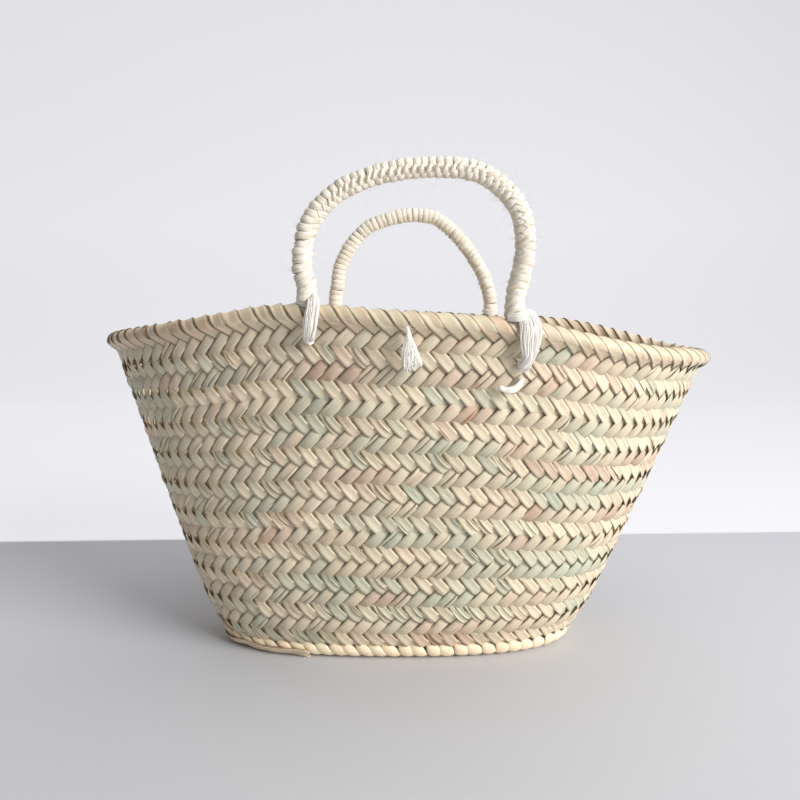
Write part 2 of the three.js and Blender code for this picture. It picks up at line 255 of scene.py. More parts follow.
# The wall, with its sizes in metres
wall = {
    "rimHalfLength": 0.2172,
    "rimHalfDepth": 0.1181,
    "baseHalfLength": 0.118,
    "baseHalfDepth": 0.045,
    "turnOut": 0.0112,  # the quick flare just above the base
    "turnSharpness": 17,
    "squareness": 0.5,
    "offset": -0.009,
    "height": 0.235,
    "endDroop": 0.022,
    "slant": -0.028,
    "lift": 0.0055,
    "liftAt": -0.078,
    "liftReach": 0.050,
    "twist": 0.0085,  # near the right end the front rim sags and the rear one rises
    "twistAt": 0.155,
    "twistReach": 0.062,
    "length": 0.249,  # from the base to the rim's top, along the wall
    "turns": 10,
    "rimBand": 0.0135,
    "baseBand": 0.010,
}


def ovalPoint(angle, halfLength, halfDepth, squareness):
    power = 2 / (2 + squareness)
    c = np.cos(angle)
    s = np.sin(angle)
    return halfLength * np.sign(c) * np.abs(c) ** power, halfDepth * np.sign(s) * np.abs(s) ** power


def rimTop(angle):
    x = wall["rimHalfLength"] * np.cos(angle)
    front = (1 - np.sin(angle)) / 2
    lift = wall["lift"] * front * np.exp(-(((x - wall["liftAt"]) / wall["liftReach"]) ** 2))
    twist = wall["twist"] * np.sin(angle) * np.exp(-(((x - wall["twistAt"]) / wall["twistReach"]) ** 2))
    return wall["height"] + wall["slant"] * x - wall["endDroop"] * np.cos(angle) ** 2 + lift + twist


# The outline of the wall, from level 0 at the base to 1 at the rim's top
def wallSurface(angle, level):
    flare = wall["turnOut"] * (1 - np.exp(-wall["turnSharpness"] * level))
    halfLength = wall["baseHalfLength"] + flare
    halfLength = halfLength + (wall["rimHalfLength"] - wall["baseHalfLength"] - wall["turnOut"]) * level
    halfDepth = wall["baseHalfDepth"] + flare
    halfDepth = halfDepth + (wall["rimHalfDepth"] - wall["baseHalfDepth"] - wall["turnOut"]) * level
    x, y = ovalPoint(angle, halfLength, halfDepth, wall["squareness"] * (1 - level))
    return np.stack([x + wall["offset"] * (1 - level), y, level * rimTop(angle)], axis=-1)


# A point some way up the wall, and some way out from it
def wallPoint(angle, up, out):
    angle, up, out = np.broadcast_arrays(angle, up, out)
    level = up / wall["length"]
    step = 1e-3
    along = wallSurface(angle + step, level) - wallSurface(angle - step, level)
    rise = wallSurface(angle, level + step) - wallSurface(angle, level - step)
    normal = np.cross(along, rise)
    normal /= np.linalg.norm(normal, axis=-1, keepdims=True)
    return wallSurface(angle, level) + normal * out[..., None]


def basePoint(angle, inside, height):
    angle, inside, height = np.broadcast_arrays(angle, inside, height)
    x, y = ovalPoint(
        angle,
        wall["baseHalfLength"] - inside,
        wall["baseHalfDepth"] - inside,
        wall["squareness"],
    )
    return np.stack([x + wall["offset"], y, height + 0 * x], axis=-1)


# Finds angles round an oval ring by length, so that leaves keep their pitch.
# Cells are counted to the right from the middle of the front.
class RingMeasure:
    def __init__(self, pointAt, levels):
        self.levels = levels
        angles = np.linspace(-math.pi / 2, 0, 721)
        shares = np.linspace(0, 1, 241)
        self.shares = shares
        lengths = []
        table = []
        for level in levels:
            points = pointAt(angles, np.full_like(angles, level))
            steps = np.linalg.norm(np.diff(points, axis=0), axis=1)
            run = np.concatenate([[0], np.cumsum(steps)])
            lengths.append(run[-1])
            table.append(np.interp(shares, run / run[-1], angles + math.pi / 2))
        self.lengths = np.array(lengths)
        self.table = np.array(table)

    def quarter(self, level):
        return np.interp(level, self.levels, self.lengths)

    def angle(self, cell, level, quarterCells, pitch):
        cell, level = np.broadcast_arrays(cell, level)
        cell = np.mod(cell, 4 * quarterCells)
        which = np.minimum(cell // quarterCells, 3).astype(int)
        fromMiddle = np.choose(which, [
            cell,
            2 * quarterCells - cell,
            cell - 2 * quarterCells,
            4 * quarterCells - cell,
        ])
        length = self.quarter(level)
        # cells keep their pitch near the middles, and the ends take up the flare
        placed = fromMiddle * pitch + (length - quarterCells * pitch) * (fromMiddle / quarterCells) ** 4
        share = np.clip(placed / length, 0, 1) * (len(self.shares) - 1)
        row = np.interp(level, self.levels, np.arange(len(self.levels)))
        i = np.minimum(row.astype(int), len(self.levels) - 2)
        j = np.minimum(share.astype(int), len(self.shares) - 2)
        di = row - i
        dj = share - j
        low = self.table[i, j] * (1 - dj) + self.table[i, j + 1] * dj
        high = self.table[i + 1, j] * (1 - dj) + self.table[i + 1, j + 1] * dj
        part = low * (1 - di) + high * di
        return np.choose(which, [
            part - math.pi / 2,
            math.pi / 2 - part,
            math.pi / 2 + part,
            1.5 * math.pi - part,
        ])


wallMeasure = RingMeasure(
    lambda angle, up: wallSurface(angle, up / wall["length"]),
    np.linspace(-0.012, wall["length"], 88),
)
baseMeasure = RingMeasure(
    lambda angle, inside: basePoint(angle, inside, 0.0),
    np.linspace(-0.004, 0.0395, 30),
)


def makeMesh(name, points, faceGroups, attributes):
    mesh = bpy.data.meshes.new(name)
    corners = np.concatenate([group.ravel() for group in faceGroups]).astype(np.int32)
    sizes = np.concatenate([np.full(len(group), group.shape[1]) for group in faceGroups])
    mesh.vertices.add(len(points))
    mesh.vertices.foreach_set("co", points.astype(np.float32).ravel())
    mesh.loops.add(len(corners))
    mesh.loops.foreach_set("vertex_index", corners)
    mesh.polygons.add(len(sizes))
    mesh.polygons.foreach_set("loop_start", (np.cumsum(sizes) - sizes).astype(np.int32))
    mesh.polygons.foreach_set("use_smooth", np.ones(len(sizes), bool))
    mesh.update(calc_edges=True)
    for key, values in attributes.items():
        kind = "FLOAT_VECTOR" if values.ndim == 2 else "FLOAT"
        field = "vector" if values.ndim == 2 else "value"
        layer = mesh.attributes.new(key, kind, "POINT")
        layer.data.foreach_set(field, values.astype(np.float32).ravel())
    return mesh


# Joins parts into one piece, which rides on a body where one is given
def addPiece(name, parts, material, slot, body, nodes=()):
    points = np.concatenate([part["points"] for part in parts])
    starts = np.cumsum([0] + [len(part["points"]) for part in parts[:-1]])
    faces = [group + start for part, start in zip(parts, starts) for group in part["faces"]]
    attributes = {
        key: np.concatenate([part["attributes"][key] for part in parts])
        for key in parts[0]["attributes"]
    }
    made = bpy.data.objects.new(name, makeMesh(name, points, faces, attributes))
    made.data.materials.append(material)
    bpy.context.scene.collection.objects.link(made)
    if body:
        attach(made, body)
    if nodes:
        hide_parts(*nodes)
    return made


def unit(vectors):
    return vectors / np.maximum(np.linalg.norm(vectors, axis=-1, keepdims=True), 1e-12)


# Closed ribbons from grids of middle points, shaped (ribbon, along, across, 3).
# The outside is on the side that along x across points to.
def ribbons(middle, thickness, crown, tone, shade, seed, lengthStep, widthStep):
    count, along, across, _ = middle.shape
    normal = unit(np.cross(np.gradient(middle, axis=1), np.gradient(middle, axis=2)))
    side = np.linspace(-1, 1, across)
    if np.ndim(crown) > 1:
        crown = np.reshape(crown, (-1, along, 1))
    bow = (1 - side ** 2) * crown
    edgeThin = thickness * (0.5 + 0.5 * np.sqrt(np.clip(1 - side ** 2, 0, 1)))
    centre = middle + normal * np.broadcast_to(bow, (count, along, across))[..., None]
    half = (normal * edgeThin[:, None]) / 2
    points = np.stack([centre + half, centre - half], axis=1)
    block = along * across
    index = np.arange(count * 2 * block).reshape(count, 2, along, across)
    top = index[:, 0]
    low = index[:, 1]

    def quads(a, b, c, d):
        return np.stack([a, b, c, d], axis=-1).reshape(-1, 4)

    faces = np.concatenate([
        quads(top[:, :-1, :-1], top[:, 1:, :-1], top[:, 1:, 1:], top[:, :-1, 1:]),
        quads(low[:, :-1, :-1], low[:, :-1, 1:], low[:, 1:, 1:], low[:, 1:, :-1]),
        quads(top[:, :-1, 0], low[:, :-1, 0], low[:, 1:, 0], top[:, 1:, 0]),
        quads(top[:, :-1, -1], top[:, 1:, -1], low[:, 1:, -1], low[:, :-1, -1]),
        quads(top[:, 0, :-1], top[:, 0, 1:], low[:, 0, 1:], low[:, 0, :-1]),
        quads(top[:, -1, :-1], low[:, -1, :-1], low[:, -1, 1:], top[:, -1, 1:]),
    ])

    def spread(values):
        return np.broadcast_to(np.reshape(values, (-1, 1, 1, 1)), (count, 2, along, across)).ravel()

    shape = (count, 2, along, across)
    lengths = np.broadcast_to(np.reshape(lengthStep, (-1, 1, 1, 1)) * np.arange(along)[:, None], shape)
    widths = np.broadcast_to(np.reshape(widthStep, (-1, 1, 1, 1)) * np.arange(across), shape)
    seeds = spread(seed)
    grain = np.stack([lengths.ravel() + seeds * 0.37, widths.ravel() + seeds * 0.11, seeds], axis=-1)
    return {
        "points": points.reshape(-1, 3),
        "faces": [faces],
        "attributes": {
            "tone": spread(tone),
            "shade": spread(shade),
            "edge": np.broadcast_to(side, shape).ravel(),
            "grain": grain,
        },
    }


plait = {
    "pitch": 0.0102,
    "width": 1.02,  # of a leaf, as a share of the room it has
    "thickness": 0.0005,
    "middle": -0.0020,
    "lift": {-1: 0.0012, 1: 0.0018},  # the lower half of a turn is fuller than the upper one
    "crown": {-1: 0.0004, 1: 0.0009},
    # painted light and shade: leaves of the lower half (lean 1) are painted lighter as if they caught more
    # light, those of the upper half (lean -1) darker
    "paintedLight": {-1: 0.91, 1: 1.07},
    "brightnessSpread": 0.045,
    "brightnessRuns": 0.03,  # shared by a few neighbours
    "tone": 0.45,
    "toneSpread": 0.11,
    "toneRuns": 0.17,
    "reach": 1.15,  # how far an end runs on past its own turn, in crossings
    "tuck": -0.42,  # depth of the ends between the layers, as a share of the lift
    "endTuck": -0.2,
    "along": 21,
    "across": 5,
    "halved": 0.11,  # share of the leaves that are split in two
    "doubled": 0.12,  # share with a second, narrow leaf on top
    "doubledRise": 4.5e-4,
    "tilt": 0.00035,
    "crossing": 0.0076,  # metres from one crossing to the next, for the grain
    "seed": 11,
}


def smoothRandom(random, count, reach):
    steps = max(3, int(count / reach))
    values = random.normal(0, 1, steps)
    around = np.arange(count) / count * steps
    low = around.astype(int)
    share = around - low
    share = share * share * (3 - 2 * share)
    return values[low % steps] * (1 - share) + values[(low + 1) % steps] * share


# One period of the twill: each leaf passes over two and under two. Leaves with lean -1 fall to
# the left and are outside in the upper half, those with lean 1 fall to the right and are outside
# in the lower half. place(cell, fall, out) gives points, with fall 0 at the top edge and 1 at
# the bottom one.
def plaitTurn(place, cells, random, flatness=1.0):
    parts = []
    for lean in (-1, 1):
        near = smoothRandom(random, cells, 4)
        shine = smoothRandom(random, cells, 5)
        leaves = []
        for j in range(cells):
            kind = random.random()
            tone = plait["tone"] + plait["toneRuns"] * near[j] + random.normal(0, plait["toneSpread"])
            tone = np.clip(tone, 0, 1)
            shade = 1 + plait["brightnessRuns"] * shine[j] + random.normal(0, plait["brightnessSpread"])
            # painted light and shade: each leaf's shade is scaled up or down by its lean
            shade = plait["paintedLight"][lean] * shade
            half = plait["width"] / 2 * (1 + random.normal(0, 0.03))
            shift = random.normal(0, 0.03)
            if kind < plait["halved"]:
                cut = random.uniform(-0.25, 0.25)
                leaves.append((j, shift - half, shift + cut - 0.02, 0.0, tone, shade))
                rise = random.uniform(-2, 3) * 1e-4
                otherTone = np.clip(tone + random.normal(0, 0.1), 0, 1)
                otherShade = shade * random.uniform(0.94, 1.04)
                leaves.append((j, shift + cut + 0.02, shift + half, rise, otherTone, otherShade))
            else:
                leaves.append((j, shift - half, shift + half, 0.0, tone, shade))
            if kind > 1 - plait["doubled"]:
                side = random.choice([-1, 1])
                inner = shift + side * half * random.uniform(0.25, 0.6)
                outer = shift + side * half * random.uniform(0.96, 1.06)
                low, high = sorted((inner, outer))
                otherTone = np.clip(tone + random.normal(0, 0.12), 0, 1)
                otherShade = shade * random.uniform(0.95, 1.06)
                leaves.append((j, low, high, plait["doubledRise"], otherTone, otherShade))
        column = np.array(leaves)[:, :, None, None]
        cell, left, right, raised, tone, shade = (column[:, i] for i in range(6))
        count = len(leaves)
        start = -plait["reach"] if lean < 0 else -0.3
        end = 4.3 if lean < 0 else 4 + plait["reach"]
        a = np.linspace(start, end, plait["along"])[None, :, None]
        b = left + (right - left) * np.linspace(0, 1, plait["across"])[None, None, :]
        turned = random.normal(0, 0.016, (count, 1, 1)) * (a - 2)
        u = cell + (b + turned + lean * a) / 2
        fall = (a - lean * (b + turned)) / 4
        wave = -lean * np.cos((a - 1) * math.pi / 2)
        wave = np.sin(1.3 * wave) / math.sin(1.3)
        # both ends of a leaf are tucked in between the layers of the next turn
        if lean < 0:
            wave = np.where(a < 0, np.maximum(wave, plait["tuck"]), wave)
            wave = np.where(a > 3, np.minimum(wave, plait["endTuck"]), wave)
        else:
            wave = np.where(a > 4, np.maximum(wave, plait["tuck"]), wave)
            wave = np.where(a < 1, np.minimum(wave, plait["endTuck"]), wave)
        strength = plait["lift"][lean] * flatness * (1 + random.normal(0, 0.07, (count, 1, 1)))
        tilt = random.normal(0, plait["tilt"], (count, 1, 1)) * b
        out = plait["middle"] + wave * (strength + raised) + tilt
        middle = place(u, fall, out)
        crown = np.broadcast_to(wave[..., 0] * plait["crown"][lean], (count, plait["along"]))
        if lean > 0:
            middle = middle[:, :, ::-1]
        lengthStep = (end - start) * plait["crossing"] / (plait["along"] - 1)
        widthStep = (right - left).ravel() * plait["crossing"] / (plait["across"] - 1)
        seeds = random.uniform(0, 50, count)
        parts.append(ribbons(middle, plait["thickness"], crown, tone, shade, seeds, lengthStep, widthStep))
    return parts


turnHeight = (wall["length"] - wall["rimBand"] - wall["baseBand"]) / wall["turns"]


def seamHeight(turn):
    return wall["baseBand"] + turn * turnHeight


def turnCells(turn):
    return round(float(wallMeasure.quarter(seamHeight(turn - 0.5))) / plait["pitch"])


def turnPhase(turn):
    return 0.3 * math.sin(2.4 * turn)


def withEnds(rows):
    return np.concatenate([[2 * rows[0] - rows[1]], rows, [2 * rows[-1] - rows[-2]]])


# A smooth line through points given in rows, at shares from 0 to 1
def smoothLine(rows, shares):
    rows = np.array(rows, float)
    padded = withEnds(rows)
    place = np.asarray(shares) * (len(rows) - 1)
    i = np.minimum(place.astype(int), len(rows) - 2)
    t = (place - i)[..., None]
    p0, p1, p2, p3 = (padded[i + k] for k in range(4))
    return 0.5 * (2 * p1 + (p2 - p0) * t + (2 * p0 - 5 * p1 + 4 * p2 - p3) * t ** 2
                  + (3 * p1 - p0 - 3 * p2 + p3) * t ** 3)


# The middle of the leaf as it goes over the rim, from the outside to the inside:
# length along it, length down from the rim's top, and distance out
rimSection = smoothLine([
    (0.0600, 0.0600, -0.0020), (0.0420, 0.0420, -0.0020), (0.0300, 0.0300, -0.0020),
    (0.0230, 0.0230, -0.0020), (0.0190, 0.0190, -0.0020), (0.0155, 0.0155, -0.0018),
    (0.0128, 0.0128, -0.0008), (0.0105, 0.0107, 0.0008), (0.0080, 0.0085, 0.0021),
    (0.0055, 0.0062, 0.0027), (0.0032, 0.0040, 0.0022), (0.0012, 0.0024, 0.0009),
    (-0.0008, 0.0016, -0.0010), (-0.0030, 0.0014, -0.0032), (-0.0052, 0.0019, -0.0054),
    (-0.0075, 0.0033, -0.0073), (-0.0100, 0.0054, -0.0086), (-0.0130, 0.0082, -0.0091),
    (-0.0160, 0.0111, -0.0089), (-0.0185, 0.0134, -0.0079), (-0.0205, 0.0149, -0.0064),
], np.linspace(0, 1, 300))
rimHeading = unit(np.gradient(rimSection[:, 1:], axis=0))


# Points on or off the leaf's way over the rim, at a length along it
def overRim(angleAt, length, off):
    length, off = np.broadcast_arrays(length, off)

    def read(values):
        return np.interp(-length, -rimSection[:, 0], values)

    down = read(rimSection[:, 1]) + read(rimHeading[:, 1]) * off
    out = read(rimSection[:, 2]) - read(rimHeading[:, 0]) * off
    angle = angleAt(wall["length"] - np.maximum(down, 0))
    return wallPoint(angle, wall["length"] - down, out)


def addWallTurns():
    for turn in range(1, wall["turns"] + 1):
        random = np.random.default_rng(plait["seed"] + turn)
        top = seamHeight(turn)
        quarterCells = turnCells(turn)

        def place(cell, fall, out):
            cell, fall = np.broadcast_arrays(cell + turnPhase(turn), fall)

            def angleAt(up):
                return wallMeasure.angle(cell, up, quarterCells, plait["pitch"])

            if turn == wall["turns"]:
                return overRim(angleAt, wall["rimBand"] + fall * turnHeight, out - plait["middle"])
            up = top - fall * turnHeight
            return wallPoint(angleAt(up), up, out)

        name = f"wall_plait_turn_{turn:02d}"
        parts = plaitTurn(place, 4 * quarterCells, random)
        addPiece(f"woven_{name}", parts, plaitLeaf, "palm_plait", "basket", [name])


addWallTurns()
print("wall woven")


# A row of like leaves, laid along middles that are already placed
def leafRow(random, spec, middle, tone, shade):
    lengthStep = spec["leafLength"] / (spec["along"] - 1)
    widthStep = spec["leafWidth"] / (spec["across"] - 1)
    seeds = random.uniform(0, 50, len(middle))
    tone = np.clip(tone, 0, 1)
    return ribbons(middle, spec["thickness"], spec["crown"], tone, shade, seeds, lengthStep, widthStep)


rim = {
    "lift": 0.0015,
    "overlap": 1.03,
    "edgeLift": 0.00055,
    "crown": 0.0012,
    "thickness": 0.0006,
    "from": 1.4,  # crossings below the rim's band at which the leaves come out
    "to": -5.9,
    "along": 36,
    "across": 9,
    "leafLength": 0.055,
    "leafWidth": 0.008,
    "tone": 0.5,
    "seed": 5,
}


# The leaves of the binding carry on from the top turn, over the rim and down inside it
def addRimBinding():
    random = np.random.default_rng(rim["seed"])
    quarterCells = turnCells(wall["turns"])
    cells = 4 * quarterCells
    a = np.linspace(rim["from"], rim["to"], rim["along"])[None, :, None]
    side = np.linspace(-1, 1, rim["across"])[None, None, :]
    half = rim["overlap"] * (1 + random.normal(0, 0.035, (cells, 1, 1)))
    b = side * half + random.normal(0, 0.03, (cells, 1, 1))
    turned = random.normal(0, 0.022, (cells, 1, 1)) * (a + 0.5)
    cell = np.arange(cells)[:, None, None] + turnPhase(wall["turns"]) + (b + turned + a) / 2
    length = wall["rimBand"] + (a - b - turned) / 4 * turnHeight
    wave = np.where(a < -1, 1.0, np.maximum(-np.cos((a - 1) * math.pi / 2), -0.7))
    over = np.clip((0.5 - a) / 0.8, 0, 1) * (0.35 + 0.65 * np.clip((a + 3.4) / 1.2, 0, 1))
    off = wave * rim["lift"] * (1 + random.normal(0, 0.06, (cells, 1, 1)))
    off = off + over * (rim["edgeLift"] * side + random.normal(0, 0.0001, (cells, 1, 1)))

    def angleAt(up):
        return wallMeasure.angle(cell, up, quarterCells, plait["pitch"])

    middle = overRim(angleAt, length, off)[:, ::-1, ::-1]
    tone = rim["tone"] + 0.15 * smoothRandom(random, cells, 8) + random.normal(0, 0.18, cells)
    shade = 1 + random.normal(0, 0.05, cells)
    parts = [leafRow(random, rim, middle, tone, shade)]
    addPiece("rim_binding_leaves", parts, rimLeaf, "rim_leaf", "basket", ["rim_binding"])


addRimBinding()
print("rim bound")

band = {
    "pitch": 0.0092,
    "slant": 2.0,
    "overlap": 1.12,
    "crown": 0.0009,
    "thickness": 0.0006,
    "along": 25,
    "across": 7,
    "leafLength": 0.034,
    "leafWidth": 0.010,
    "level": 0.005,  # height at which the leaves are counted
    "tone": 0.35,
    # painted light: lifts the band's leaves well above their own leaf colour, as if more light fell on them
    "paintedLight": 1.38,
    "seed": 8,
}


# The band's section: out at the seam, down the outside, under the base and back up inside
def bandPoint(angle, share):
    corners = [
        wallPoint(angle, 0.0102, -0.0028),
        wallPoint(angle, 0.0098, -0.0008),
        wallPoint(angle, 0.0074, 0.0009),
        wallPoint(angle, 0.0040, 0.0010),
        basePoint(angle, -0.0010, 0.0020),
        basePoint(angle, 0.0014, 0.0014),
        basePoint(angle, 0.0055, 0.0014),
        basePoint(angle, 0.0098, 0.0016),
        basePoint(angle, 0.0101, 0.0034),
        basePoint(angle, 0.0075, 0.0049),
        basePoint(angle, 0.0030, 0.0062),
        wallPoint(angle, 0.0092, -0.0052),
    ]
    return smoothLine(corners, share)


def addBaseBand():
    random = np.random.default_rng(band["seed"])
    quarterCells = round(float(wallMeasure.quarter(band["level"])) / band["pitch"])
    cells = 4 * quarterCells
    shares = np.linspace(0, 1, band["along"])
    side = np.linspace(-1, 1, band["across"])[None, :]
    cell = (np.arange(cells) + random.normal(0, 0.06, cells))[:, None]
    half = band["overlap"] / 2 * (1 + random.normal(0, 0.05, (cells, 1)))
    slant = band["slant"] * (1 + random.normal(0, 0.2, (cells, 1)))
    rows = []
    for share in shares:
        taper = 1 - 0.35 * math.exp(-((share / 0.1) ** 2))
        u = cell + side * half * taper + slant * (share - 0.3)
        angle = wallMeasure.angle(u, band["level"], quarterCells, band["pitch"])
        rows.append(bandPoint(angle, share))
    middle = np.stack(rows, axis=1)
    tone = band["tone"] + random.normal(0, 0.15, cells)
    # painted light: the band's shade starts from the raised level above
    shade = band["paintedLight"] + random.normal(0, 0.05, cells)
    parts = [leafRow(random, band, middle, tone, shade)]
    addPiece("base_band_leaves", parts, rimLeaf, "palm_plait", "basket", ["base_edge_band"])


addBaseBand()
print("base band wrapped")


# Tubes with an oval section along lines, for cords, yarns and fibres
def sweep(lines, sides, ups, halfWidths, halfDepths, around, shade, seed):
    count, steps, _ = lines.shape
    theta = np.linspace(0, 2 * math.pi, around, endpoint=False)

    def reach(turned, halves):
        return turned[None, None, :, None] * np.broadcast_to(halves, (count, steps))[..., None, None]

    wide = reach(np.cos(theta), halfWidths)
    deep = reach(np.sin(theta), halfDepths)
    points = lines[:, :, None] + sides[:, :, None] * wide + ups[:, :, None] * deep
    index = np.arange(count * steps * around).reshape(count, steps, around)
    after = np.roll(index, -1, axis=2)
    quads = np.stack([index[:, :-1], after[:, :-1], after[:, 1:], index[:, 1:]], axis=-1).reshape(-1, 4)
    run = np.cumsum(np.linalg.norm(np.diff(lines, axis=1, prepend=lines[:, :1]), axis=2), axis=1)
    shape = (count, steps, around)
    seeds = np.broadcast_to(np.reshape(seed, (-1, 1, 1)), shape).ravel()
    lengths = np.broadcast_to(run[:, :, None], shape).ravel()
    girth = np.broadcast_to(np.max(halfWidths) * np.abs(theta - math.pi), shape).ravel()
    shades = np.broadcast_to(np.reshape(shade, (count, -1, 1)), shape).ravel()
    return {
        "points": points.reshape(-1, 3),
        "faces": [quads, index[:, 0, ::-1], index[:, -1]],
        "attributes": {
            "tone": np.full(len(seeds), 0.5),
            "shade": shades,
            "edge": np.zeros(len(seeds)),
            "grain": np.stack([lengths + 0.37 * seeds, girth, seeds], axis=-1),
        },
    }


# Round tubes along lines shaped (tube, step, 3)
def tubes(lines, radii, around, shade, seed):
    forward = unit(np.gradient(lines, axis=1))
    sides = np.zeros_like(lines)
    start = np.where(np.abs(forward[:, 0, 2:]) < 0.8, [[0.0, 0.0, 1.0]], [[1.0, 0.0, 0.0]])
    sides[:, 0] = unit(np.cross(forward[:, 0], start))
    for i in range(1, lines.shape[1]):
        last = sides[:, i - 1]
        flat = last - forward[:, i] * np.sum(last * forward[:, i], axis=-1, keepdims=True)
        sides[:, i] = unit(flat)
    ups = np.cross(forward, sides)
    return sweep(lines, sides, ups, radii, radii, around, shade, seed)


# Evenly spaced points on a smooth curve through the given ones
def curveThrough(points, spacing):
    points = np.array(points, float)
    padded = withEnds(points)
    fine = []
    t = np.linspace(0, 1, 30, endpoint=False)[:, None]
    for i in range(len(points) - 1):
        p0, p1, p2, p3 = padded[i:i + 4]
        d0, d1, d2 = (np.linalg.norm(b - a) ** 0.5 for a, b in ((p0, p1), (p1, p2), (p2, p3)))
        leave = ((p1 - p0) / d0 - (p2 - p0) / (d0 + d1) + (p2 - p1) / d1) * d1
        arrive = ((p2 - p1) / d1 - (p3 - p1) / (d1 + d2) + (p3 - p2) / d2) * d1
        fine.append((2 * t ** 3 - 3 * t ** 2 + 1) * p1 + (t ** 3 - 2 * t ** 2 + t) * leave
                    + (3 * t ** 2 - 2 * t ** 3) * p2 + (t ** 3 - t ** 2) * arrive)
    fine = np.concatenate([*fine, points[-1:]])
    run = np.concatenate([[0], np.cumsum(np.linalg.norm(np.diff(fine, axis=0), axis=1))])
    at = np.linspace(0, run[-1], max(4, round(run[-1] / spacing) + 1))
    return np.stack([np.interp(at, run, fine[:, k]) for k in range(3)], axis=1)


handle = {
    "pitch": 0.0046,
    "coilRadius": 0.0052,
    "yarnHalfWidth": 0.0026,
    "yarnHalfDepth": 0.00095,
    "valley": 0.0007,  # depth of the groove that the hitches lie in
    "hitchWidth": 0.12,  # share of a turn over which the yarn steps across to the next one
    "hitchRadius": 0.0013,
    "stepsPerTurn": 36,
    "around": 10,
    "spacing": 0.0005,  # of the points along the middle
    "unevenRun": 0.0003,
    "unevenRadius": 0.0002,
    "hairs": 520,
    "footHeight": 0.0075,  # of the pivot above the rim
    "footLength": 0.0045,  # below the pivot
    "footShape": [0.55, 0.8, 0.9, 0.95, 0.9, 0.8, 0.7, 0.6],  # of the tucked-in end
}
handles = {
    "front": {
        "side": -1,
        "feet": (-0.062, 0.063),
        # x, and height above the rim's usual height
        "arch": [(-0.064, 0.026), (-0.060, 0.053), (-0.0435, 0.072), (-0.014, 0.084), (0.016, 0.087),
                 (0.043, 0.083), (0.064, 0.064), (0.069, 0.041), (0.066, 0.022)],
        "hitchTurn": 0.25,
        "seed": 21,
    },
    "rear": {
        "side": 1,
        "feet": (-0.065, 0.075),
        "arch": [(-0.063, 0.022), (-0.059, 0.044), (-0.038, 0.0745), (-0.008, 0.086), (0.013, 0.087),
                 (0.028, 0.083), (0.051, 0.061), (0.0695, 0.030)],
        "hitchTurn": -0.6,
        "seed": 22,
    },
}


def rimPoint(angle, down, out):
    return wallPoint(angle, wall["length"] - down, out)


def rimAngle(x, side):
    return side * np.arccos(np.clip(x / wall["rimHalfLength"], -1, 1))


def footCentre(x, side):
    return rimPoint(rimAngle(x, side), 0, -0.0032) + np.array([0, 0, handle["footHeight"]])


def handlePath(spec):
    left, right = (footCentre(x, spec["side"]) for x in spec["feet"])
    reach = np.array([0, 0, handle["footLength"]])

    def depthAt(x):
        return left[1] + (right[1] - left[1]) * (x - left[0]) / (right[0] - left[0])

    arch = [(x, depthAt(x), wall["height"] + h) for x, h in spec["arch"]]
    return [left - reach, left + reach, *arch, right + reach, right - reach]


